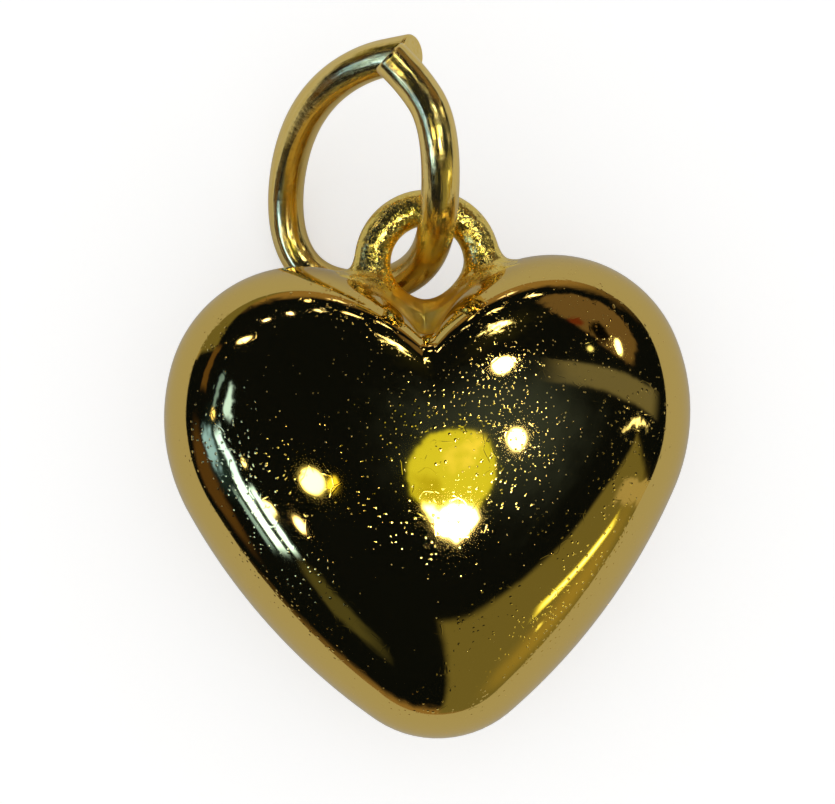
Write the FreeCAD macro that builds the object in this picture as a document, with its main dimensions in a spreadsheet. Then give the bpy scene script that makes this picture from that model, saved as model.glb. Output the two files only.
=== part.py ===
import FreeCAD, Part
import math
import os

# A puffy heart pendant: a small heart cast in brass in one piece with its eye, and plated in gold.
# A split ring of round wire hangs in the eye.
# It lies face up as it comes to rest: its back on the table, its eye propped up by the ring.
# +Z is up, +Y runs to the ring, and the origin is under the middle of the whole on the table.

os.makedirs("parts", exist_ok=True)

# The share of the shorter run that a tangent arc takes at each point of the ring's wire
ARC_SHARE = 0.45

doc = FreeCAD.newDocument("puffy_heart_pendant")
sheet = doc.addObject("Spreadsheet::Sheet", "sizes")

# Every driving size, in millimetres or degrees, with the name of its cell
SIZES = [
    # the outline of the heart: tangent arcs of each half, from the cleft round to the tip
    ("lobe_across", 3.80),
    ("lobe_up", 1.67),
    ("lobe_radius", 4.08),
    ("lobe_end", 20.0),
    ("shoulder_radius", 5.87),
    ("shoulder_end", -26.0),
    ("flank_radius", 19.1),
    ("tip_radius", 3.36),
    ("cleft_radius", 0.30),
    # the swell of the heart over that outline
    ("half_thickness", 3.60),
    ("fullness", 0.15),
    ("swell_power", 1.5),
    ("crown_radius", 7.20),
    ("crown_below", 0.20),
    # the eye, a closed loop in the cleft, and the gusset that fills the cleft under it
    ("eye_across", 0.19),
    ("eye_up", 5.68),
    ("eye_wire", 1.10),
    ("eye_hole", 2.21),
    ("gusset_depth", 1.15),
    ("gusset_top_width", 3.60),
    ("gusset_foot_width", 0.70),
    ("gusset_foot_up", 3.30),
    ("gusset_crest", 0.50),
    # the ring in its own plane: round, pulled to a corner at the top where it is split
    ("ring_wire", 1.12),
    ("ring_radius", 4.059),
    ("ring_slimness", 0.770),
    ("ring_lean", 0.290),
    ("ring_right_corner", 26.6),
    ("ring_left_corner", 18.4),
    ("ring_right_end", -2.4),
    ("ring_left_end", 4.2),
    # how far the wire is bent out of that plane, which parts its two ends
    ("ring_twist", -0.745),
    ("ring_bow", -0.185),
    ("ring_warp", 0.158),
    ("ring_ripple", -0.136),
    ("ring_wave", -0.174),
    # how the ring lies in the eye: its middle from the middle of the eye, and its turns
    ("ring_across", -1.695),
    ("ring_up", 2.525),
    ("ring_rise", -0.589),
    ("ring_heading", 208.24),
    ("ring_tilt", 48.10),
    ("ring_spin", -130.96),
]


def put_sizes(rows):
    """Write each size into the sheet as a number with an alias."""
    for row, (name, value) in enumerate(rows, start=1):
        sheet.set("A%d" % row, name)
        sheet.set("B%d" % row, str(value))
        sheet.setAlias("B%d" % row, name)
    doc.recompute()


put_sizes(SIZES)


def size(name):
    """A driving size, read back from the sheet."""
    return float(getattr(sheet, name))


def outline_arcs():
    """The right half of the outline as arcs: centre x and y, radius, first and last angle."""
    lobe_x = size("lobe_across")
    lobe_y = size("lobe_up")
    lobe = size("lobe_radius")
    shoulder = size("shoulder_radius")
    flank = size("flank_radius")
    tip = size("tip_radius")
    # lobes that stand further apart than they are wide leave a gap, which the round spans too
    cleft = size("cleft_radius") + max(lobe_x - lobe, 0.0)
    lobe_end = math.radians(size("lobe_end"))
    shoulder_end = math.radians(size("shoulder_end"))
    cleft_y = lobe_y + math.sqrt((lobe + cleft) ** 2 - lobe_x ** 2)
    shoulder_x = lobe_x - (shoulder - lobe) * math.cos(lobe_end)
    shoulder_y = lobe_y - (shoulder - lobe) * math.sin(lobe_end)
    flank_x = shoulder_x - (flank - shoulder) * math.cos(shoulder_end)
    flank_y = shoulder_y - (flank - shoulder) * math.sin(shoulder_end)
    flank_end = -math.acos(-flank_x / (flank - tip))
    tip_y = flank_y + (flank - tip) * math.sin(flank_end)
    cleft_end = math.atan2(lobe_y - cleft_y, lobe_x)
    lobe_start = cleft_end + math.pi
    return [
        (0.0, cleft_y, cleft, -math.pi / 2, cleft_end),
        (lobe_x, lobe_y, lobe, lobe_end, lobe_start),
        (shoulder_x, shoulder_y, shoulder, shoulder_end, lobe_end),
        (flank_x, flank_y, flank, flank_end, shoulder_end),
        (0.0, tip_y, tip, -math.pi / 2, flank_end),
    ]


ARCS = outline_arcs()
CROWN_Y = -size("crown_below")


def outline_reach(angle):
    """How far the outline is from the crown's axis in one direction."""
    across = abs(math.cos(angle))
    up = math.sin(angle)
    best = None
    for centre_x, centre_y, radius, first, last in ARCS:
        along = across * centre_x + up * (centre_y - CROWN_Y)
        off = centre_x ** 2 + (centre_y - CROWN_Y) ** 2 - along ** 2
        if off > radius ** 2:
            continue
        half = math.sqrt(radius ** 2 - off)
        for reach in (along - half, along + half):
            turn = math.atan2(CROWN_Y + reach * up - centre_y, reach * across - centre_x)
            miss = max(first - turn, turn - last, 0.0)
            if reach > 0 and (best is None or miss < best[0]):
                best = (miss, reach)
    return best[1]


def heart_point(angle, rise):
    """A point of the heart: angle round the crown, and rise from the rim at 0 to the crown at 90."""
    share = math.cos(rise)
    crown = size("crown_radius")
    reach = share * (crown + share ** size("swell_power") * (outline_reach(angle) - crown))
    height = size("half_thickness") * math.sin(rise) * (1 + size("fullness") * share ** 2)
    return FreeCAD.Vector(reach * math.cos(angle), CROWN_Y + reach * math.sin(angle), height)


def heart_solid():
    """The closed swell of the heart, on one surface that runs from crown to crown."""
    columns = 72
    rows = 21
    crowding = 0.8
    grid = []
    for row in range(rows):
        rise = math.radians(-90 + 180 * row / (rows - 1))
        ring = []
        for column in range(columns):
            share = column / columns
            angle = 2 * math.pi * (share + crowding * math.sin(2 * math.pi * share) / (2 * math.pi))
            ring.append(heart_point(angle - math.pi / 2, rise))
        grid.append(ring)
    return closed_surface(grid)


def closed_surface(grid):
    """A solid whose surface runs through a grid of points: each row a closed ring, each end a pole."""
    ring_steps = [float(i) for i in range(len(grid[0]) + 1)]
    row_steps = [float(i) for i in range(len(grid))]
    ring_poles = []
    for ring in grid[1:-1]:
        ring_curve = Part.BSplineCurve()
        ring_curve.interpolate(Points=ring, PeriodicFlag=True, Parameters=ring_steps)
        ring_poles.append(ring_curve.getPoles())
    net = []
    for column in range(len(ring_poles[0])):
        through = [grid[0][0]] + [poles[column] for poles in ring_poles] + [grid[-1][0]]
        row_curve = Part.BSplineCurve()
        row_curve.interpolate(Points=through, Parameters=row_steps)
        net.append(row_curve.getPoles())
    surface = Part.BSplineSurface()
    surface.buildFromPolesMultsKnots(
        net,
        ring_curve.getMultiplicities(),
        row_curve.getMultiplicities(),
        ring_curve.getKnots(),
        row_curve.getKnots(),
        True,
        False,
        3,
        3,
    )
    solid = Part.Solid(Part.Shell([surface.toShape()]))
    if solid.Volume < 0:
        solid.reverse()
    return solid


def bind(piece, sizes):
    """Bind a feature's own sizes to the sheet."""
    for name, formula in sizes.items():
        piece.setExpression(name, formula)


def add_heart():
    """The heart with its eye and gusset, in one piece."""
    swell = doc.addObject("Part::Feature", "swell")
    swell.Shape = heart_solid()
    eye = doc.addObject("Part::Torus", "eye")
    bind(eye, {
        "Radius1": "(sizes.eye_hole + sizes.eye_wire) / 2",
        "Radius2": "sizes.eye_wire / 2",
        "Placement.Base.x": "sizes.eye_across",
        "Placement.Base.y": "sizes.eye_up",
    })
    wedge = doc.addObject("Part::Wedge", "wedge")
    bind(wedge, {
        "Xmin": "sizes.eye_across - sizes.gusset_foot_width / 2",
        "Xmax": "sizes.eye_across + sizes.gusset_foot_width / 2",
        "X2min": "sizes.eye_across - sizes.gusset_top_width / 2",
        "X2max": "sizes.eye_across + sizes.gusset_top_width / 2",
        "Ymin": "sizes.gusset_foot_up",
        "Ymax": "sizes.eye_up - sizes.eye_hole / 2 + sizes.gusset_crest",
        "Zmin": "-sizes.gusset_depth / 2",
        "Zmax": "sizes.gusset_depth / 2",
        "Z2min": "-sizes.gusset_depth / 2",
        "Z2max": "sizes.gusset_depth / 2",
    })
    hole = doc.addObject("Part::Cylinder", "hole")
    bind(hole, {
        "Radius": "(sizes.eye_hole + sizes.eye_wire) / 2",
        "Height": "sizes.gusset_depth * 2",
        "Placement.Base.x": "sizes.eye_across",
        "Placement.Base.y": "sizes.eye_up",
        "Placement.Base.z": "-sizes.gusset_depth",
    })
    gusset = doc.addObject("Part::Cut", "gusset")
    gusset.Base = wedge
    gusset.Tool = hole
    heart = doc.addObject("Part::MultiFuse", "heart")
    heart.Shapes = [swell, eye, gusset]
    heart.Label = "heart"
    return heart


def ring_axes():
    """The ring's own axes in the heart's frame: across it, towards its corner, and out of its plane."""
    heading = math.radians(size("ring_heading"))
    tilt = math.radians(size("ring_tilt"))
    spin = math.radians(size("ring_spin"))
    out = FreeCAD.Vector(
        math.sin(tilt) * math.cos(heading), math.sin(tilt) * math.sin(heading), math.cos(tilt)
    )
    level = out.cross(FreeCAD.Vector(0, 0, 1)).normalize()
    slope = out.cross(level)
    across = level * math.cos(spin) + slope * math.sin(spin)
    along = slope * math.cos(spin) - level * math.sin(spin)
    return across, along, out


def ring_point(turn):
    """A point of the wire's middle line: turn runs from 0 at the corner, over the right, to 360."""
    radius = size("ring_radius")
    corner = math.radians(size("ring_right_corner" if turn < 180 else "ring_left_corner"))
    angle = math.radians(turn)
    side = min(angle, 2 * math.pi - angle)
    reach = radius / math.cos(corner - side) if side < corner else radius
    along = reach * math.cos(angle)
    across = reach * math.sin(angle) * size("ring_slimness") + along * size("ring_lean")
    share = turn / 180 - 1
    out = size("ring_twist") * share * abs(share)
    out += size("ring_bow") * math.cos(2 * angle) + size("ring_warp") * math.sin(2 * angle)
    out += size("ring_ripple") * math.cos(3 * angle) + size("ring_wave") * math.sin(3 * angle)
    across_axis, along_axis, out_axis = ring_axes()
    middle = FreeCAD.Vector(
        size("eye_across") + size("ring_across"), size("eye_up") + size("ring_up"), size("ring_rise")
    )
    return middle + across_axis * across + along_axis * along + out_axis * out


def ring_route():
    """Points along the wire's middle line, from the end of the right arm to the end of the left."""
    runs = 26
    first = size("ring_right_end")
    last = 360 - size("ring_left_end")
    return [ring_point(first + (last - first) * run / runs) for run in range(runs + 1)]


def tangent_wire(route):
    """Straight runs joined by tangent arcs, each as large as the shorter run at its point allows."""
    edges = []
    start = route[0]
    for before, point, after in zip(route, route[1:], route[2:]):
        back = before - point
        ahead = after - point
        reach = ARC_SHARE * min(back.Length, ahead.Length)
        arc_start = point + back.normalize() * reach
        arc_end = point + ahead.normalize() * reach
        half_turn = (math.pi - back.getAngle(ahead)) / 2
        arc_middle = point + (back + ahead).normalize() * reach * math.tan(half_turn / 2)
        edges.append(Part.LineSegment(start, arc_start).toShape())
        edges.append(Part.Arc(arc_start, arc_middle, arc_end).toShape())
        start = arc_end
    edges.append(Part.LineSegment(start, route[-1]).toShape())
    return Part.Wire(edges)


def add_ring():
    """The split ring: one length of round wire, its two ends cut off square."""
    route = ring_route()
    path = tangent_wire(route)
    section = Part.Circle(route[0], route[1] - route[0], size("ring_wire") / 2).toShape()
    ring = doc.addObject("Part::Feature", "jump_ring")
    ring.Shape = path.makePipeShell([Part.Wire(section)], True, False)
    ring.Label = "jump_ring"
    wanted = math.pi * size("ring_wire") ** 2 / 4 * path.Length
    print("wire %.3f mm long, volume %.3f of %.3f" % (path.Length, ring.Shape.Volume, wanted))
    return ring


def surface_points():
    """Points under the heart and along the ring, each with how far the metal reaches around it."""
    points = []
    for rise in range(-90, -40):
        for angle in range(0, 360, 5):
            points.append((heart_point(math.radians(angle), math.radians(rise)), 0.0))
    for point in ring_route():
        points.append((point, size("ring_wire") / 2))
    return points


def rest_up(pieces):
    """The direction that points up when the pieces lie still: their centre of mass is then lowest."""
    mass = sum(piece.Shape.Volume for piece in pieces)
    centre = FreeCAD.Vector()
    for piece in pieces:
        centre += piece.Shape.CenterOfGravity * (piece.Shape.Volume / mass)
    points = [(point - centre, around) for point, around in surface_points()]

    def height(lean_x, lean_y):
        up = FreeCAD.Vector(lean_x, lean_y, 1).normalize()
        return max(around - point.dot(up) for point, around in points)

    lean = (0.0, 0.0)
    lowest = height(*lean)
    step = 0.05
    while step > 1e-4:
        tries = [(lean[0] + x * step, lean[1] + y * step) for x in (-1, 0, 1) for y in (-1, 0, 1)]
        heights = [height(*each) for each in tries]
        best = min(heights)
        if best < lowest:
            lowest = best
            lean = tries[heights.index(best)]
        else:
            step /= 2
    return FreeCAD.Vector(lean[0], lean[1], 1)


def lay_down(pieces):
    """Turn the pieces as they lie still, over the origin, with the lowest point on the table."""
    turned = FreeCAD.Placement(FreeCAD.Vector(), FreeCAD.Rotation(rest_up(pieces), FreeCAD.Vector(0, 0, 1)))
    box = FreeCAD.BoundBox()
    for piece in pieces:
        shape = piece.Shape.copy()
        shape.Placement = turned
        box.add(shape.optimalBoundingBox(False))
    middle = FreeCAD.Vector((box.XMin + box.XMax) / 2, (box.YMin + box.YMax) / 2, box.ZMin)
    for piece in pieces:
        piece.Placement = FreeCAD.Placement(-middle, turned.Rotation)
    doc.recompute()


def check_document(pieces):
    """Stop before anything is written if an object failed or a piece isn't one sound solid."""
    for item in doc.Objects:
        if "Invalid" in item.State or "Error" in item.State:
            raise RuntimeError("failed: " + item.Name)
    for piece in pieces:
        if piece.Shape.isNull() or not piece.Shape.isValid() or len(piece.Shape.Solids) != 1:
            raise RuntimeError("unsound: " + piece.Label)


def main():
    """Build both pieces, lay them down and write each to its own file."""
    heart = add_heart()
    ring = add_ring()
    doc.recompute()
    pieces = [heart, ring]
    lay_down(pieces)
    check_document(pieces)
    for piece in pieces:
        piece.Shape.exportStep("parts/%s.step" % piece.Label)
        print(piece.Label, "volume %.3f" % piece.Shape.Volume, piece.Shape.BoundBox)


main()
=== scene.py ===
import math
import bpy
import numpy as np
import openvdb
from mathutils import Matrix, Vector


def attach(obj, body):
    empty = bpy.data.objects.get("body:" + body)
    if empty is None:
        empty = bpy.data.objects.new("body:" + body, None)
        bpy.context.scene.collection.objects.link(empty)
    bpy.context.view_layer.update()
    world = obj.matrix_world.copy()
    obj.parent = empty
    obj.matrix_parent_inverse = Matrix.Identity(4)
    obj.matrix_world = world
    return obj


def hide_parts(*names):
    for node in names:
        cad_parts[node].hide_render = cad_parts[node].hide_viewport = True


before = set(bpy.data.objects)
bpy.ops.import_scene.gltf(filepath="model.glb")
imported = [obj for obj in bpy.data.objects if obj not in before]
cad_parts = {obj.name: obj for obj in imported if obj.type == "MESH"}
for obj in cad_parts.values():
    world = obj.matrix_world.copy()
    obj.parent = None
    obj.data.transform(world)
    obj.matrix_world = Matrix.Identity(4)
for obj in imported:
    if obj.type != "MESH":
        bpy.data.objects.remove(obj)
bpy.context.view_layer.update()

# The heart is cast in brass in one piece with the eye that stands in its cleft.
# Both its faces are the same full cushion over one outline, and they meet in a soft round rim.
# The casting is filed and tumbled until it is as smooth as glass, and then plated.

# The outline, in millimetres from the middle: tangent arcs of each half, from the cleft to the tip
LOBE_ACROSS, LOBE_UP, LOBE_RADIUS, LOBE_END = 3.80, 1.67, 4.08, 20.0
SHOULDER_RADIUS, SHOULDER_END = 5.87, -26.0
FLANK_RADIUS, TIP_RADIUS, CLEFT_RADIUS = 19.1, 3.36, 0.30

# The cushion over that outline
HALF_THICKNESS, FULLNESS, SWELL_POWER = 3.60, 0.15, 1.5
CROWN_RADIUS, CROWN_BELOW = 7.20, 0.20

# How the casting lies on the table: which way is up in its own axes, and where its middle stands
REST_UP = (-0.036232, 0.063113, 0.997348)
REST_MIDDLE = (-0.001212, -1.746676, 3.656851)

MM = 0.001

# The mesh: columns round the outline, crowded towards the cleft, and rows from crown to crown
COLUMNS, ROWS, CROWDING = 320, 144, 0.8

# Where the front has rubbed most, and how far the wear reaches, in metres
RUBBED_SPOT, RUBBED_REACH = (0.0022, 0.0008, 0.0072), 0.0058


def turn_to_up(up):
    """The smallest turn that takes one direction of the casting to the shared frame's +Z."""
    up = np.array(up) / np.linalg.norm(up)
    side = np.cross(up, (0.0, 0.0, 1.0))
    cross = np.array([[0, -side[2], side[1]], [side[2], 0, -side[0]], [-side[1], side[0], 0]])
    return np.eye(3) + cross + cross @ cross / (1 + up[2])


REST_TURN = turn_to_up(REST_UP)


def lay(points):
    """Points of the casting's own axes, in millimetres, as the pendant lies, in metres."""
    return (np.asarray(points, dtype=float) @ REST_TURN.T + REST_MIDDLE) * MM


def outline_arcs():
    """Arcs of the right half: centre x and y, radius, first and last angle."""
    lobe_end, shoulder_end = math.radians(LOBE_END), math.radians(SHOULDER_END)
    cleft_y = LOBE_UP + math.sqrt((LOBE_RADIUS + CLEFT_RADIUS) ** 2 - LOBE_ACROSS ** 2)
    shoulder_x = LOBE_ACROSS - (SHOULDER_RADIUS - LOBE_RADIUS) * math.cos(lobe_end)
    shoulder_y = LOBE_UP - (SHOULDER_RADIUS - LOBE_RADIUS) * math.sin(lobe_end)
    flank_x = shoulder_x - (FLANK_RADIUS - SHOULDER_RADIUS) * math.cos(shoulder_end)
    flank_y = shoulder_y - (FLANK_RADIUS - SHOULDER_RADIUS) * math.sin(shoulder_end)
    flank_end = -math.acos(-flank_x / (FLANK_RADIUS - TIP_RADIUS))
    tip_y = flank_y + (FLANK_RADIUS - TIP_RADIUS) * math.sin(flank_end)
    cleft_end = math.atan2(LOBE_UP - cleft_y, LOBE_ACROSS)
    return [
        (0.0, cleft_y, CLEFT_RADIUS, -math.pi / 2, cleft_end),
        (LOBE_ACROSS, LOBE_UP, LOBE_RADIUS, lobe_end, cleft_end + math.pi),
        (shoulder_x, shoulder_y, SHOULDER_RADIUS, shoulder_end, lobe_end),
        (flank_x, flank_y, FLANK_RADIUS, flank_end, shoulder_end),
        (0.0, tip_y, TIP_RADIUS, -math.pi / 2, flank_end),
    ]


def outline_reach(angle, arcs):
    """How far the outline is from the crown's axis in one direction."""
    across, up = abs(math.cos(angle)), math.sin(angle)
    found = []
    for centre_x, centre_y, radius, first, last in arcs:
        rise = centre_y + CROWN_BELOW
        along = across * centre_x + up * rise
        off = centre_x ** 2 + rise ** 2 - along ** 2
        if off > radius ** 2:
            continue
        half = math.sqrt(radius ** 2 - off)
        for reach in (along - half, along + half):
            turn = math.atan2(reach * up - rise, reach * across - centre_x)
            if reach > 0:
                found.append((max(first - turn, turn - last, 0.0), reach))
    return min(found)[1]


def heart_points():
    """The grid of the cushion from the back crown to the front crown, one point at each crown."""
    arcs = outline_arcs()
    share = np.arange(COLUMNS) / COLUMNS
    angles = 2 * np.pi * share + CROWDING * np.sin(2 * np.pi * share) - np.pi / 2
    outline = np.array([outline_reach(angle, arcs) for angle in angles])
    rises = np.radians(np.linspace(-90, 90, ROWS + 1))[1:-1, None]
    level = np.cos(rises)
    reach = level * (CROWN_RADIUS + level ** SWELL_POWER * (outline - CROWN_RADIUS))
    height = HALF_THICKNESS * np.sin(rises) * (1 + FULLNESS * level ** 2)
    height = np.broadcast_to(height, reach.shape)
    grid = np.stack([reach * np.cos(angles), reach * np.sin(angles) - CROWN_BELOW, height], axis=-1)
    crowns = [[0, -CROWN_BELOW, -HALF_THICKNESS], [0, -CROWN_BELOW, HALF_THICKNESS]]
    return np.vstack([crowns, grid.reshape(-1, 3)])


def heart_faces():
    """Quads between the rows, and a fan of triangles round each crown."""
    column = np.arange(COLUMNS)
    after = (column + 1) % COLUMNS
    first = 2 + np.arange(ROWS - 2)[:, None] * COLUMNS
    quads = np.stack(
        [first + column, first + after, first + COLUMNS + after, first + COLUMNS + column], axis=-1,
    )
    last = 2 + (ROWS - 2) * COLUMNS
    back = np.stack([np.zeros_like(column), 2 + after, 2 + column], axis=-1)
    front = np.stack([np.ones_like(column), last + column, last + after], axis=-1)
    return quads.reshape(-1, 4), np.vstack([back, front])


def make_piece(name, points, faces):
    """A smooth-shaded object at the origin, with its place in its mesh."""
    mesh = bpy.data.meshes.new(name)
    mesh.from_pydata(points.tolist(), [], [face for group in faces for face in group.tolist()])
    mesh.polygons.foreach_set("use_smooth", [True] * len(mesh.polygons))
    mesh.update()
    piece = bpy.data.objects.new(name, mesh)
    bpy.context.scene.collection.objects.link(piece)
    return piece


def colour(code, alpha=1.0):
    """An sRGB hex colour as the linear values that the shaders take."""
    parts = [int(code[i:i + 2], 16) / 255 for i in (1, 3, 5)]
    return tuple(p / 12.92 if p <= 0.04045 else ((p + 0.055) / 1.055) ** 2.4 for p in parts) + (alpha,)


def add_node(tree, kind, links=(), **settings):
    """One node: settings by name, socket values by their names, then its incoming links."""
    node = tree.nodes.new(kind)
    for key, value in settings.items():
        if hasattr(node, key):
            setattr(node, key, value)
        else:
            node.inputs[key.replace("_", " ")].default_value = value
    for socket, source in dict(links).items():
        tree.links.new(source, node.inputs[socket])
    return node


def new_material(name):
    """A material with its Principled shader, and the tree that holds it."""
    material = bpy.data.materials.new(name)
    material.use_nodes = True
    return material, material.node_tree, material.node_tree.nodes["Principled BSDF"]


def polished_gold_plate():
    """Gold plating over polished brass: a deep yellow mirror with the faint waves of hand
    polishing, and with grains and hairlines that glint round the picture of a lamp."""
    material, tree, shader = new_material("polished_gold_plate")
    shader.inputs["Base Color"].default_value = colour("#E4C46C")
    shader.inputs["Metallic"].default_value = 1.0
    place = add_node(tree, "ShaderNodeTexCoord").outputs["Object"]
    # waves of polishing, about 2 mm from crest to crest
    waves = add_node(tree, "ShaderNodeTexNoise", {"Vector": place}, Scale=500.0, Detail=2.0)
    wavy = add_node(
        tree, "ShaderNodeBump", {"Height": waves.outputs["Fac"]}, Strength=0.15, Distance=0.02 * MM,
    )
    # grains 0.06 mm across and 0.14 mm apart, which come in patches of a few millimetres
    grains = add_node(tree, "ShaderNodeTexVoronoi", {"Vector": place}, Scale=7000.0)
    grain = add_node(
        tree, "ShaderNodeMapRange", {"Value": grains.outputs["Distance"]},
        interpolation_type="SMOOTHSTEP", From_Min=0.08, From_Max=0.36, To_Min=1.0, To_Max=0.0,
    )
    crowd = add_node(tree, "ShaderNodeTexNoise", {"Vector": place}, Scale=330.0, Detail=3.0)
    patchy = add_node(
        tree, "ShaderNodeMapRange", {"Value": crowd.outputs["Fac"]},
        interpolation_type="SMOOTHSTEP", From_Min=0.40, From_Max=0.78,
    )
    chance = add_node(tree, "ShaderNodeSeparateColor", {"Color": grains.outputs["Color"]})
    chosen = add_node(
        tree, "ShaderNodeMath", {0: chance.outputs["Red"], 1: patchy.outputs["Result"]},
        operation="LESS_THAN",
    )
    kept = add_node(
        tree, "ShaderNodeMath", {0: grain.outputs["Result"], 1: chosen.outputs[0]}, operation="MULTIPLY",
    )
    grainy = add_node(
        tree, "ShaderNodeBump", {"Height": kept.outputs[0], "Normal": wavy.outputs["Normal"]},
        Strength=1.0, Distance=0.004 * MM,
    )
    # hairlines half a millimetre apart, bent and broken, from cloth and other charms
    bend = add_node(tree, "ShaderNodeTexNoise", {"Vector": place}, Scale=1200.0, Detail=1.0)
    bent = add_node(
        tree, "ShaderNodeVectorMath", {0: bend.outputs["Color"], 2: place}, operation="MULTIPLY_ADD",
    )
    bent.inputs[1].default_value = [0.6 * MM] * 3
    cells = add_node(
        tree, "ShaderNodeTexVoronoi", {"Vector": bent.outputs[0]},
        Scale=1900.0, feature="DISTANCE_TO_EDGE",
    )
    line = add_node(
        tree, "ShaderNodeMapRange", {"Value": cells.outputs["Distance"]},
        From_Max=0.035, To_Min=1.0, To_Max=0.0,
    )
    breaks = add_node(tree, "ShaderNodeTexNoise", {"Vector": place}, Scale=2600.0, Detail=0.0)
    short = add_node(
        tree, "ShaderNodeMapRange", {"Value": breaks.outputs["Fac"]}, From_Min=0.54, From_Max=0.60,
    )
    worn = add_node(
        tree, "ShaderNodeMath", {0: line.outputs["Result"], 1: short.outputs["Result"]},
        operation="MULTIPLY",
    )
    scratched = add_node(
        tree, "ShaderNodeBump", {"Height": worn.outputs[0], "Normal": grainy.outputs["Normal"]},
        Strength=0.5, Distance=0.0008 * MM,
    )
    tree.links.new(scratched.outputs["Normal"], shader.inputs["Normal"])
    # dull specks 0.05 mm across, thickest on the right of the front, which rubs on what it hangs by
    specks = add_node(tree, "ShaderNodeTexVoronoi", {"Vector": place}, Scale=8500.0)
    speck = add_node(
        tree, "ShaderNodeMapRange", {"Value": specks.outputs["Distance"]},
        From_Min=0.10, From_Max=0.30, To_Min=1.0, To_Max=0.0,
    )
    away = add_node(tree, "ShaderNodeVectorMath", {0: place}, operation="DISTANCE")
    away.inputs[1].default_value = RUBBED_SPOT
    rubbed = add_node(
        tree, "ShaderNodeMapRange", {"Value": away.outputs["Value"]},
        From_Min=0.0, From_Max=RUBBED_REACH, To_Min=0.55, To_Max=0.06,
    )
    lot = add_node(tree, "ShaderNodeSeparateColor", {"Color": specks.outputs["Color"]})
    picked = add_node(
        tree, "ShaderNodeMath", {0: lot.outputs["Green"], 1: rubbed.outputs["Result"]},
        operation="LESS_THAN",
    )
    dull = add_node(
        tree, "ShaderNodeMath", {0: speck.outputs["Result"], 1: picked.outputs[0]},
        operation="MULTIPLY",
    )
    haze = add_node(tree, "ShaderNodeMapRange", {"Value": dull.outputs[0]}, To_Min=0.05, To_Max=0.45)
    tree.links.new(haze.outputs["Result"], shader.inputs["Roughness"])
    return material


heart_points_mm = heart_points()
heart = make_piece("heart_swell", lay(heart_points_mm), heart_faces())
heart.data.materials.append(polished_gold_plate())
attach(heart, "pendant")
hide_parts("heart")


# The eye is a closed loop of round section, and a thick web fills the cleft under it.
# They come from the mould with the heart and are plated with it, but no wheel reaches them:
# they keep the rippled skin of the casting, and run into the lobes with small fillets.

# The eye, the web and their fillets, in millimetres in the casting's axes
EYE_ACROSS, EYE_UP, EYE_WIRE, EYE_HOLE = 0.19, 5.68, 1.10, 2.21
WEB_DEPTH, WEB_TOP_WIDTH, WEB_FOOT_WIDTH, WEB_FOOT_UP, WEB_CREST = 1.15, 3.60, 0.70, 3.30, 0.50
EYE_FILLET, LOBE_FILLET = 0.50, 0.80

# Their one skin is drawn on a grid of fine cells over a region round the eye. Where it ends, it
# sinks just under the polished heart, and it stops a little past the reach of its fillet.
CELL = 0.04
SKIN_SINK, SKIN_REACH = 0.05, LOBE_FILLET * 1.1
REGION_LOW, REGION_HIGH = (-3.0, 2.6, -1.6), (3.4, 8.2, 1.6)
REGION_START = tuple(round(low / CELL) for low in REGION_LOW)

# How far the distance to the polished heart is worked out, outside it in millimetres and inside it
# in cells, and how many cells away the empty parts of the skin's grid count
BAND_OUTSIDE, CELLS_INSIDE, CELLS_AWAY = 0.9, 4.0, 3

# Where the dull web turns into the bright eye, in metres along the shared frame's Y
BRIGHT_FROM, BRIGHT_TO = 0.0025, 0.0036


def blend(a, b, width):
    """The smooth union of two distances."""
    near = np.maximum(width - np.abs(a - b), 0) / width
    return np.minimum(a, b) - near ** 2 * width / 4


def lobes_distance(shape):
    """How far each cell of the region is from the polished cushion."""
    quads, triangles = heart_faces()
    field = openvdb.FloatGrid.createLevelSetFromPolygons(
        heart_points_mm.astype(np.float32),
        triangles=triangles.astype(np.uint32),
        quads=quads.astype(np.uint32),
        transform=openvdb.createLinearTransform(voxelSize=CELL),
        exBandWidth=BAND_OUTSIDE / CELL,
        inBandWidth=CELLS_INSIDE,
    )
    values = np.empty(shape, dtype=np.float32)
    field.copyToArray(values, ijk=REGION_START)
    return values


def eye_mesh():
    """The eye and its web, with the fillets that run onto the lobes."""
    spans = zip(REGION_START, REGION_HIGH)
    x, y, z = np.meshgrid(
        *[np.arange(start, round(high / CELL)) * CELL for start, high in spans], indexing="ij",
    )
    ring_middle = (EYE_HOLE + EYE_WIRE) / 2
    out = np.hypot(x - EYE_ACROSS, y - EYE_UP)
    eye = np.hypot(out - ring_middle, z) - EYE_WIRE / 2
    top = EYE_UP - EYE_HOLE / 2 + WEB_CREST
    slope = (WEB_TOP_WIDTH - WEB_FOOT_WIDTH) / 2 / (top - WEB_FOOT_UP)
    side = np.abs(x - EYE_ACROSS) - WEB_FOOT_WIDTH / 2 - slope * (y - WEB_FOOT_UP)
    side /= math.hypot(1, slope)
    web = np.maximum.reduce(
        [side, np.abs(z) - WEB_DEPTH / 2, WEB_FOOT_UP - y, y - top, ring_middle - out],
    )
    setting = blend(eye, web, EYE_FILLET)
    skin = blend(setting, lobes_distance(x.shape) + SKIN_SINK, LOBE_FILLET)
    skin = np.maximum(skin, setting - SKIN_REACH)
    field = openvdb.FloatGrid(CELL * CELLS_AWAY)
    field.transform = openvdb.createLinearTransform(voxelSize=CELL)
    field.copyFromArray(skin.astype(np.float32), ijk=REGION_START)
    return field.convertToQuads(0.0)


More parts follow.
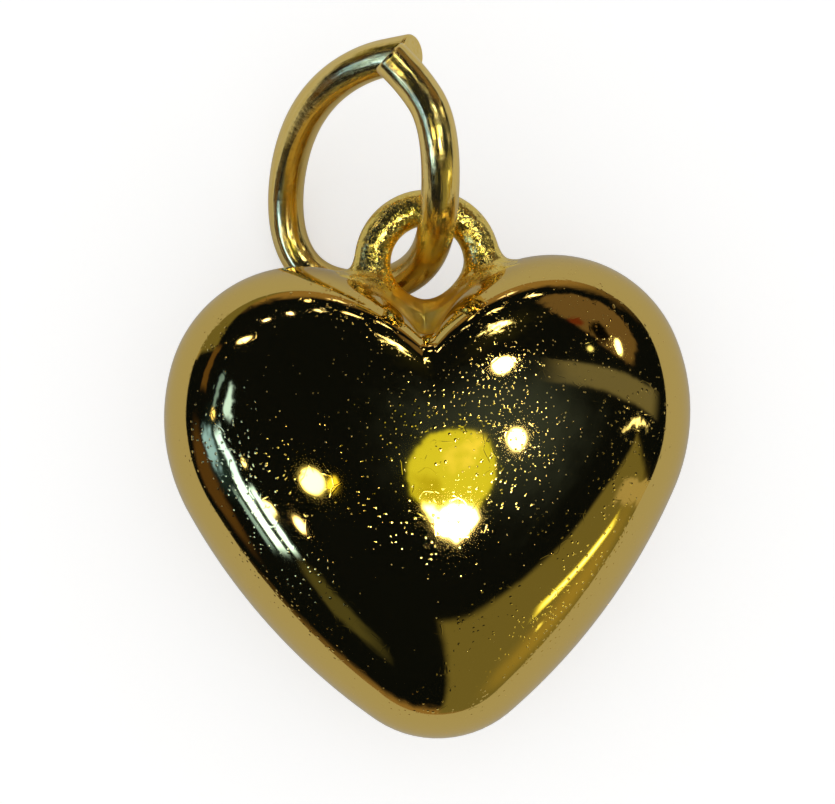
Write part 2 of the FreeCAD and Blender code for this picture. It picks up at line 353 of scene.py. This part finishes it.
def cast_gold_plate():
    """Gold plating over a cast skin that was only tumbled: the same gold, brighter and softer than
    the mirror beside it, and broken up by the ripples and pits of the mould."""
    material, tree, shader = new_material("cast_gold_plate")
    shader.inputs["Metallic"].default_value = 1.0
    place = add_node(tree, "ShaderNodeTexCoord").outputs["Object"]
    # ripples 0.4 mm apart
    ripples = add_node(tree, "ShaderNodeTexNoise", {"Vector": place}, Scale=2400.0, Detail=2.0)
    rippled = add_node(tree, "ShaderNodeBump", {"Height": ripples.outputs["Fac"]}, Distance=0.09 * MM)
    # pits of the mould's sand, 0.1 mm apart
    pits = add_node(tree, "ShaderNodeTexNoise", {"Vector": place}, Scale=10000.0, Detail=2.0)
    pitted = add_node(
        tree, "ShaderNodeBump", {"Height": pits.outputs["Fac"], "Normal": rippled.outputs["Normal"]},
        Strength=1.0, Distance=0.008 * MM,
    )
    tree.links.new(pitted.outputs["Normal"], shader.inputs["Normal"])
    # the plating is thinner and paler on the crests
    tint = add_node(
        tree, "ShaderNodeMixRGB", {"Fac": ripples.outputs["Fac"]},
        Color1=colour("#FBD654"), Color2=colour("#FFE88C"),
    )
    tree.links.new(tint.outputs["Color"], shader.inputs["Base Color"])
    # the web stays as it came from the mould, and the eye above it is rubbed bright
    up = add_node(tree, "ShaderNodeSeparateXYZ", {0: place}).outputs["Y"]
    bright = add_node(
        tree, "ShaderNodeMapRange", {"Value": up}, interpolation_type="SMOOTHSTEP",
        From_Min=BRIGHT_FROM, From_Max=BRIGHT_TO,
    ).outputs["Result"]
    haze = add_node(tree, "ShaderNodeMapRange", {"Value": pits.outputs["Fac"]}, To_Min=0.14, To_Max=0.36)
    matt = add_node(tree, "ShaderNodeMapRange", {"Value": bright}, To_Min=0.12, To_Max=0.0)
    dull = add_node(
        tree, "ShaderNodeMath", {0: haze.outputs["Result"], 1: matt.outputs["Result"]},
        operation="ADD",
    )
    tree.links.new(dull.outputs[0], shader.inputs["Roughness"])
    depth = add_node(tree, "ShaderNodeMapRange", {"Value": bright}, To_Min=0.45, To_Max=1.0)
    tree.links.new(depth.outputs["Result"], rippled.inputs["Strength"])
    return material


eye_points, eye_quads = eye_mesh()
eye = make_piece("heart_eye", lay(eye_points), [eye_quads[:, ::-1]])
eye.data.materials.append(cast_gold_plate())
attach(eye, "pendant")
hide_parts("heart")


# The jump ring is cut from drawn brass wire, plated, and bent open by hand to thread the eye.
# It is pulled to a corner at its split, where its right arm ends in front of the left one.
# The wire keeps lengthwise lines from the die and pits where the plating crept.

# The wire, and the leaning oval that its middle line follows: millimetres and shares
RING_WIRE, RING_RADIUS, RING_SLIMNESS, RING_LEAN = 1.12, 4.059, 0.770, 0.290
# How wide each side's straight run to the corner is, and where each arm ends, in degrees
RING_RIGHT_CORNER, RING_LEFT_CORNER, RING_RIGHT_END, RING_LEFT_END = 26.6, 18.4, -2.4, 4.2
# How it is bent out of its plane: what parts its ends, then waves that go twice and three times round
RING_TWIST, RING_BOW, RING_WARP, RING_RIPPLE, RING_WAVE = -0.745, -0.185, 0.158, -0.136, -0.174
# Its middle from the eye's, in millimetres, and how its plane is turned, in degrees
RING_ACROSS, RING_UP, RING_RISE = -1.695, 2.525, -0.589
RING_HEADING, RING_TILT, RING_SPIN = 208.24, 48.10, -130.96
# The rim of each cut end: how far along the wire it is tumbled round, in millimetres, and by what
# share the wire is thinner there
END_ROUND, END_NARROW = 0.08, 0.08
# The mesh: points along the wire, and round it
RING_STEPS, RING_SIDES = 560, 56


def toward(from_up, round_up):
    """The direction at one angle from straight up and another round it, both in radians."""
    level = math.sin(from_up)
    return level * math.cos(round_up), level * math.sin(round_up), math.cos(from_up)


def ring_line():
    """The wire's middle line in the casting's axes, from the right arm's end to the left arm's."""
    turn = np.radians(np.linspace(RING_RIGHT_END, 360 - RING_LEFT_END, RING_STEPS))
    side = np.minimum(turn, 2 * np.pi - turn)
    corner = np.radians(np.where(turn < np.pi, RING_RIGHT_CORNER, RING_LEFT_CORNER))
    reach = np.where(side < corner, RING_RADIUS / np.cos(corner - side), RING_RADIUS)
    along = reach * np.cos(turn)
    across = reach * np.sin(turn) * RING_SLIMNESS + along * RING_LEAN
    share = turn / np.pi - 1
    out = RING_TWIST * share * np.abs(share)
    out += RING_BOW * np.cos(2 * turn) + RING_WARP * np.sin(2 * turn)
    out += RING_RIPPLE * np.cos(3 * turn) + RING_WAVE * np.sin(3 * turn)
    heading, tilt, spin = map(math.radians, (RING_HEADING, RING_TILT, RING_SPIN))
    normal = np.array(toward(tilt, heading))
    level = np.cross(normal, (0, 0, 1))
    level /= np.linalg.norm(level)
    slope = np.cross(normal, level)
    across_axis = level * math.cos(spin) + slope * math.sin(spin)
    along_axis = slope * math.cos(spin) - level * math.sin(spin)
    middle = np.array([EYE_ACROSS + RING_ACROSS, EYE_UP + RING_UP, RING_RISE])
    across, along, out = across[:, None], along[:, None], out[:, None]
    return middle + across * across_axis + along * along_axis + out * normal


def wire_tree():
    """Geometry Nodes that draw round wire along a path and note each point's place on the wire."""
    tree = bpy.data.node_groups.new("drawn_wire", "GeometryNodeTree")
    inputs = (
        ("Path", "NodeSocketGeometry", None),
        ("Wire radius", "NodeSocketFloat", RING_WIRE * MM / 2),
        ("Rounded end", "NodeSocketFloat", END_ROUND * MM),
        ("Sides", "NodeSocketInt", RING_SIDES),
        ("Plating", "NodeSocketMaterial", None),
    )
    for label, kind, value in inputs:
        socket = tree.interface.new_socket(label, in_out="INPUT", socket_type=kind)
        if value is not None:
            socket.default_value = value
    tree.interface.new_socket("Wire", in_out="OUTPUT", socket_type="NodeSocketGeometry")
    given = add_node(tree, "NodeGroupInput").outputs
    section = add_node(
        tree, "GeometryNodeCurvePrimitiveCircle",
        {"Resolution": given["Sides"], "Radius": given["Wire radius"]},
    )
    length = add_node(tree, "GeometryNodeSplineParameter").outputs["Length"]
    path = add_node(
        tree, "GeometryNodeStoreNamedAttribute", {"Geometry": given["Path"], "Value": length},
        data_type="FLOAT", domain="POINT", Name="along",
    )
    spot = add_node(tree, "GeometryNodeInputPosition")
    rim = add_node(
        tree, "GeometryNodeStoreNamedAttribute",
        {"Geometry": section.outputs["Curve"], "Value": spot.outputs["Position"]},
        data_type="FLOAT_VECTOR", domain="POINT", Name="around",
    )
    # the cutter's edge is tumbled round: the wire narrows over its last tenth of a millimetre
    whole = add_node(tree, "GeometryNodeSplineLength").outputs["Length"]
    rest = add_node(tree, "ShaderNodeMath", {0: whole, 1: length}, operation="SUBTRACT")
    near = add_node(tree, "ShaderNodeMath", {0: length, 1: rest.outputs[0]}, operation="MINIMUM")
    left = add_node(
        tree, "ShaderNodeMapRange", {"Value": near.outputs[0], "From Max": given["Rounded end"]},
        To_Min=1.0, To_Max=0.0,
    )
    arc = add_node(tree, "ShaderNodeMath", {0: left.outputs["Result"]}, operation="POWER")
    arc.inputs[1].default_value = 2.0
    narrow = add_node(tree, "ShaderNodeMath", {0: arc.outputs[0]}, operation="MULTIPLY_ADD")
    narrow.inputs[1].default_value = -END_NARROW
    narrow.inputs[2].default_value = 1.0
    wire = add_node(
        tree, "GeometryNodeCurveToMesh",
        {
            "Curve": path.outputs["Geometry"],
            "Profile Curve": rim.outputs["Geometry"],
            "Scale": narrow.outputs[0],
        },
        Fill_Caps=True,
    )
    smooth = add_node(tree, "GeometryNodeSetShadeSmooth", {"Geometry": wire.outputs["Mesh"]})
    real = add_node(tree, "GeometryNodeRealizeInstances", {"Geometry": smooth.outputs["Geometry"]})
    plated = add_node(
        tree, "GeometryNodeSetMaterial",
        {"Geometry": real.outputs["Geometry"], "Material": given["Plating"]},
    )
    add_node(tree, "NodeGroupOutput", {"Wire": plated.outputs["Geometry"]})
    return tree


def drawn_gold_plate():
    """Gold plating over drawn wire: bright, with the die's fine lines along the wire, which stretch
    each picture of a lamp lengthwise, and with scattered pits."""
    material, tree, shader = new_material("drawn_gold_plate")
    shader.inputs["Metallic"].default_value = 1.0
    along = add_node(tree, "ShaderNodeAttribute", attribute_name="along").outputs["Fac"]
    around = add_node(tree, "ShaderNodeAttribute", attribute_name="around").outputs["Vector"]
    # the die's lines: 0.12 mm apart across the wire, and ten times as long along it
    far = add_node(tree, "ShaderNodeMath", {0: along}, operation="MULTIPLY")
    far.inputs[1].default_value = 0.1
    shift = add_node(tree, "ShaderNodeCombineXYZ", {"Z": far.outputs[0]})
    on_wire = add_node(tree, "ShaderNodeVectorMath", {0: around, 1: shift.outputs[0]}, operation="ADD")
    lines = add_node(
        tree, "ShaderNodeTexNoise", {"Vector": on_wire.outputs[0]}, Scale=8000.0, Detail=2.0,
    )
    drawn = add_node(
        tree, "ShaderNodeBump", {"Height": lines.outputs["Fac"]}, Strength=1.0, Distance=0.013 * MM,
    )
    # pits 0.2 mm apart
    place = add_node(tree, "ShaderNodeTexCoord").outputs["Object"]
    pits = add_node(tree, "ShaderNodeTexNoise", {"Vector": place}, Scale=5000.0, Detail=3.0)
    pitted = add_node(
        tree, "ShaderNodeBump", {"Height": pits.outputs["Fac"], "Normal": drawn.outputs["Normal"]},
        Strength=1.0, Distance=0.007 * MM,
    )
    tree.links.new(pitted.outputs["Normal"], shader.inputs["Normal"])
    tint = add_node(
        tree, "ShaderNodeMixRGB", {"Fac": lines.outputs["Fac"]},
        Color1=colour("#F6CE5C"), Color2=colour("#FFE89C"),
    )
    tree.links.new(tint.outputs["Color"], shader.inputs["Base Color"])
    haze = add_node(tree, "ShaderNodeMapRange", {"Value": pits.outputs["Fac"]}, To_Min=0.10, To_Max=0.28)
    tree.links.new(haze.outputs["Result"], shader.inputs["Roughness"])
    return material


def draw_wire(name, line, plating):
    """Wire along a line of points, as a plain mesh."""
    curve = bpy.data.curves.new(name + "_line", "CURVE")
    curve.dimensions = "3D"
    spline = curve.splines.new("POLY")
    spline.points.add(len(line) - 1)
    spline.points.foreach_set("co", np.column_stack([line, np.ones(len(line))]).ravel())
    guide = bpy.data.objects.new(name + "_line", curve)
    bpy.context.scene.collection.objects.link(guide)
    tree = wire_tree()
    modifier = guide.modifiers.new("drawn_wire", "NODES")
    modifier.node_group = tree
    sockets = {item.name: item.identifier for item in tree.interface.items_tree}
    modifier[sockets["Plating"]] = plating
    evaluated = guide.evaluated_get(bpy.context.evaluated_depsgraph_get())
    mesh = bpy.data.meshes.new_from_object(evaluated)
    guide.modifiers.remove(modifier)
    bpy.data.objects.remove(guide)
    piece = bpy.data.objects.new(name, mesh)
    bpy.context.scene.collection.objects.link(piece)
    return piece


ring = draw_wire("jump_ring_wire", lay(ring_line()), drawn_gold_plate())
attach(ring, "ring")
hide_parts("jump_ring")


# The studio: a sheet of pale paper under the pendant, in a dark room with a few lamps and a window.
# The polished gold is a mirror, so what it shows is the room: each lamp, window or wall is a patch
# of light, which stands in the direction in which the dome reflects it.

# The paper's side, in metres: so long that its edge is out of sight
FLOOR_SPAN = 3.0

# How bright the soft white light on everything is, and the colour that lifts the paper to white
SOFT_LIGHT = 0.75
PAPER_LIFT = "#C2C2C3"

# What the gold mirrors between the patches, and how far a patch reaches towards its own middle:
# so far that only its length and width count
DARKNESS = "#0A0F18"
TOWARDS_PATCH = 1000.0

# Walls first, then what hangs in front of them: round or square; how far from straight up and which
# way round the middle is, how long and wide it looks, and how its length is turned from the line to
# straight up, all in degrees; then its colour, how bright it is, and how soft and ragged its edge is.
ROOM = {
    "far_wall": ("round", 88, 92, 150, 24, 90, "#8A7454", 1.3, 0.6, 0.18),
    "brown_shelf": ("round", 64, 41, 52, 25, 90, "#84705A", 0.75, 0.15, 0.16),
    "shelf_gap": ("round", 58, 33, 15, 9, 60, "#060603", 1.0, 0.5, 0.12),
    "shelf_shade": ("round", 54, 44, 9, 6, 90, "#7A3A22", 0.8, 0.6, 0.10),
    "table_top": ("square", 72.5, -52, 66, 50, 71, "#86835C", 0.80, 0.10, 0.03),
    "table_shine": ("round", 80, -46, 60, 26, 90, "#A89A58", 1.0, 0.9, 0.05),
    "pale_ledge": ("square", 79, -25, 30, 6, 0, "#C8BFA0", 0.85, 0.3, 0.08),
    "ceiling_band": ("square", 55, 8, 60, 9, -20, "#8C8C84", 0.70, 0.35, 0.03),
    "left_wall": ("round", 78, -163, 44, 18, 90, "#6A5238", 0.7, 0.5, 0.10),
    "left_post": ("square", 72, 158, 22, 6, 90, "#7A6040", 0.7, 0.3, 0.08),
    "left_table": ("round", 56, -124, 26, 12, 70, "#5E6048", 0.8, 0.6, 0.14),
    "lamp_haze": ("round", 19, -6, 62, 50, 0, "#7088B4", 0.26, 1.0, 0.30),
    "upper_haze": ("round", 42, 70, 44, 24, 0, "#34382C", 0.45, 0.9, 0.40),
    "window_frame": ("round", 64, -170, 36, 22, 90, "#1E3450", 1.1, 0.7, 0.16),
    "window_side": ("round", 67, -173, 19, 12, 90, "#6C9CFF", 2.6, 0.7, 0.28),
    "window_pane": ("square", 56, -167, 26, 4.5, 104, "#7CA4FF", 6.5, 0.4, 0.12),
    "window_sill": ("square", 56, -151, 21, 4.6, 84, "#84ACFF", 10.0, 0.4, 0.06),
    "window_board": ("square", 50.5, -147, 18, 3.4, 84, "#84ACFF", 8.0, 0.4, 0.06),
    "window_foot": ("square", 61.5, -150, 17, 3.4, 84, "#6C94E0", 2.5, 0.5, 0.06),
    "window_top": ("round", 52, 171, 13, 6, 90, "#80A8FF", 4.0, 0.5, 0.16),
    "window_edge": ("square", 60, 168, 16, 2.5, 80, "#6C94E0", 1.6, 0.5, 0.14),
    "row_lamp_1": ("round", 59, 140, 8, 4, 50, "#FFF8EC", 8.0, 0.5, 0.06),
    "row_lamp_2": ("round", 62, 125, 3, 3, 0, "#FFF8FF", 8.0, 0.5, 0.05),
    "row_lamp_3": ("round", 61, 114, 4, 3, 0, "#FFF8FF", 8.0, 0.5, 0.06),
    "row_lamp_4": ("round", 62, 101, 6, 3, 90, "#F4F4FF", 5.0, 0.6, 0.12),
    "row_lamp_5": ("round", 64, 88, 7, 3, 90, "#FFF8E0", 7.0, 0.5, 0.08),
    "row_lamp_6": ("round", 70, 74, 7, 3, 90, "#FFF8F0", 7.0, 0.5, 0.08),
    "row_lamp_7": ("round", 81, 88, 10, 3, 90, "#FFF4FF", 3.0, 0.6, 0.10),
    "row_lamp_8": ("round", 74, 102, 5, 3, 0, "#FFF8E0", 5.0, 0.5, 0.06),
    "upper_lamps": ("round", 44, 74, 13, 8, 30, "#FFFFF0", 9.0, 0.7, 0.42),
    "corner_glint": ("round", 62, 176, 4, 4, 0, "#FFF4C8", 3.0, 0.5, 0.06),
    "window_lamp": ("round", 48, -149, 5, 4, 0, "#FFFFF0", 7.0, 0.5, 0.06),
    "window_glint": ("round", 48, -166, 3, 3, 0, "#FFFFF0", 7.0, 0.5, 0.06),
    "low_lamp": ("round", 40, -141, 5, 4, 40, "#FFF8E8", 8.0, 0.4, 0.06),
    "shade": ("round", 13, -53, 18, 18, 0, "#F0FC5C", 1.04, 0.08, 0.07),
    "shade_fold": ("round", 14, -76, 12, 8, 20, "#D8DC3C", 0.95, 0.9, 0.30),
    "shade_light": ("round", 12, -30, 10, 6, 60, "#FFFF80", 1.25, 0.8, 0.30),
    "bulb": ("round", 21, -66, 8.5, 7.5, 60, "#FFFFF4", 45.0, 0.4, 0.12),
    "bulb_arm": ("round", 18, -78, 5, 3, 60, "#FFFFD0", 12.0, 0.5, 0.12),
    "left_lamp": ("round", 26, -150, 7.5, 6.5, 0, "#FFFFD0", 9.0, 0.2, 0.03),
    "left_lamp_arm": ("round", 21.5, -143, 5, 3, 20, "#FFF060", 2.0, 0.3, 0.04),
    "upper_lamp": ("round", 24, 44, 8, 5, 45, "#FFFFF0", 30.0, 0.35, 0.05),
    "small_lamp": ("round", 21, -12, 4.5, 4.5, 0, "#FFFFF0", 30.0, 0.4, 0.04),
    "right_lamp": ("round", 61, 23, 9, 4, 70, "#FFFFE8", 8.0, 0.4, 0.06),
    "right_glint": ("round", 48, 27, 3, 3, 0, "#F8FFE0", 2.0, 0.5, 0.06),
    "right_lamps": ("round", 64, -6, 19, 3, 0, "#FFFFF0", 3.5, 0.6, 0.30),
    "tube": ("square", 70, -41, 26, 4.5, 62, "#FFFF78", 1.4, 0.25, 0.01),
    "tube_core": ("square", 70, -41, 24, 2.0, 62, "#FFFFD0", 4.0, 0.5, 0.01),
    "tube_end": ("round", 75, -52, 3, 2, 0, "#FFFF9C", 1.5, 0.5, 0.02),
}


def paper():
    """Pale paper, brought up to white for the camera, with the pendant's soft shadow left on it."""
    material, tree, shader = new_material("pale_paper")
    shader.inputs["Base Color"].default_value = colour("#D4D4D2")
    shader.inputs["Roughness"].default_value = 0.9
    shader.inputs["Specular IOR Level"].default_value = 0.0
    seen = add_node(tree, "ShaderNodeLightPath").outputs["Is Camera Ray"]
    lift = add_node(tree, "ShaderNodeEmission", {"Strength": seen}, Color=colour(PAPER_LIFT))
    total = add_node(
        tree, "ShaderNodeAddShader", {0: shader.outputs["BSDF"], 1: lift.outputs["Emission"]},
    )
    tree.links.new(total.outputs["Shader"], tree.nodes["Material Output"].inputs["Surface"])
    return material


def aim_patch(from_up, round_up, turn):
    """The turn that takes X along a patch's length, Y along its width and Z to its middle."""
    tilt, heading, turn = map(math.radians, (from_up, round_up, turn))
    middle = Vector(toward(tilt, heading))
    down = Vector(toward(tilt + math.pi / 2, heading))
    along = down * math.cos(turn) + middle.cross(down) * math.sin(turn)
    return Matrix((along, middle.cross(along), middle)).transposed().to_euler()


def paint_room(tree, patches, dark):
    """The colour of the room in every direction, painted patch over patch."""
    way = add_node(tree, "ShaderNodeTexCoord").outputs["Generated"]
    # edges are ragged because each direction is shaken a little, over about 6 degrees
    rough = add_node(
        tree, "ShaderNodeTexNoise", {"Vector": way}, Scale=9.0, Detail=4.0, Roughness=0.6,
    )
    swing = add_node(
        tree, "ShaderNodeVectorMath", {0: rough.outputs["Color"]}, operation="SUBTRACT",
    )
    swing.inputs[1].default_value = (0.5, 0.5, 0.5)
    painted = None
    for form, from_up, round_up, length, width, turn, tint, bright, soft, ragged in patches.values():
        moved = add_node(
            tree, "ShaderNodeVectorMath", {0: swing.outputs[0], 2: way}, operation="MULTIPLY_ADD",
        )
        moved.inputs[1].default_value = (ragged, ragged, ragged)
        flat = add_node(
            tree, "ShaderNodeMapping", {"Vector": moved.outputs[0]}, vector_type="TEXTURE",
        )
        flat.inputs["Rotation"].default_value = aim_patch(from_up, round_up, turn)
        flat.inputs["Scale"].default_value = (
            math.sin(math.radians(length / 2)), math.sin(math.radians(width / 2)), TOWARDS_PATCH,
        )
        if form == "round":
            out = add_node(
                tree, "ShaderNodeVectorMath", {0: flat.outputs[0]}, operation="LENGTH",
            ).outputs["Value"]
        else:
            sides = add_node(
                tree, "ShaderNodeVectorMath", {0: flat.outputs[0]}, operation="ABSOLUTE",
            )
            side = add_node(tree, "ShaderNodeSeparateXYZ", {0: sides.outputs[0]}).outputs
            out = add_node(
                tree, "ShaderNodeMath", {0: side["X"], 1: side["Y"]}, operation="MAXIMUM",
            ).outputs[0]
        cover = add_node(
            tree, "ShaderNodeMapRange", {"Value": out}, interpolation_type="SMOOTHSTEP",
            From_Min=1.0 - soft, From_Max=1.0, To_Min=1.0, To_Max=0.0,
        )
        mix = add_node(tree, "ShaderNodeMixRGB", {"Fac": cover.outputs["Result"]}, Color1=dark)
        if painted:
            tree.links.new(painted, mix.inputs["Color1"])
        mix.inputs["Color2"].default_value = [part * bright for part in colour(tint)[:3]] + [1.0]
        painted = mix.outputs["Color"]
    return painted


half = FLOOR_SPAN / 2
corners = np.array([[-half, -half, 0], [half, -half, 0], [half, half, 0], [-half, half, 0]])
floor = make_piece("floor", corners, [np.array([[0, 1, 2, 3]])])
floor.data.materials.append(paper())

world = bpy.data.worlds.new("dark_room")
world.use_nodes = True
bpy.context.scene.world = world
room = world.node_tree
room.nodes.clear()
rays = add_node(room, "ShaderNodeLightPath").outputs
soft_light = add_node(
    room, "ShaderNodeBackground", Color=colour("#FFFFFF"), Strength=SOFT_LIGHT,
).outputs[0]
mirrored = add_node(
    room, "ShaderNodeBackground", {"Color": paint_room(room, ROOM, colour(DARKNESS))},
).outputs[0]
white = add_node(room, "ShaderNodeBackground", Color=colour("#FFFFFF")).outputs[0]
lit = add_node(room, "ShaderNodeMixShader", {0: rays["Is Glossy Ray"], 1: soft_light, 2: mirrored})
shown = add_node(room, "ShaderNodeMixShader", {0: rays["Is Camera Ray"], 1: lit.outputs[0], 2: white})
add_node(room, "ShaderNodeOutputWorld", {"Surface": shown.outputs[0]})


# The camera looks straight down on the pendant from 68 mm above its middle, turned a little.
# That middle stands in one column and row of the picture, at a set scale.

CAMERA_ABOVE, CAMERA_ROLL = 68.0, 2.734
PICTURE_WIDTH, PICTURE_HEIGHT = 835, 804
MIDDLE_COLUMN, MIDDLE_ROW, PIXELS_PER_MM = 429.65, 450.0, 32.9
SENSOR_WIDTH = 36.0

camera_data = bpy.data.cameras.new("camera")
camera = bpy.data.objects.new("camera", camera_data)
bpy.context.scene.collection.objects.link(camera)
bpy.context.scene.camera = camera
roll = math.radians(CAMERA_ROLL)
right = np.array([math.cos(roll), -math.sin(roll), 0])
top = np.array([math.sin(roll), math.cos(roll), 0])
aside = right * (PICTURE_WIDTH / 2 - MIDDLE_COLUMN) + top * (MIDDLE_ROW - PICTURE_HEIGHT / 2)
camera.location = (np.array(REST_MIDDLE) + aside / PIXELS_PER_MM + (0, 0, CAMERA_ABOVE)) * MM
camera.rotation_euler = (0, 0, -roll)
camera_data.sensor_width = SENSOR_WIDTH
camera_data.lens = SENSOR_WIDTH * CAMERA_ABOVE / (PICTURE_WIDTH / PIXELS_PER_MM)
camera_data.clip_start = 0.001
camera_data.clip_end = 10.0
camera_data.dof.use_dof = False

bpy.context.scene.view_settings.view_transform = "Standard"
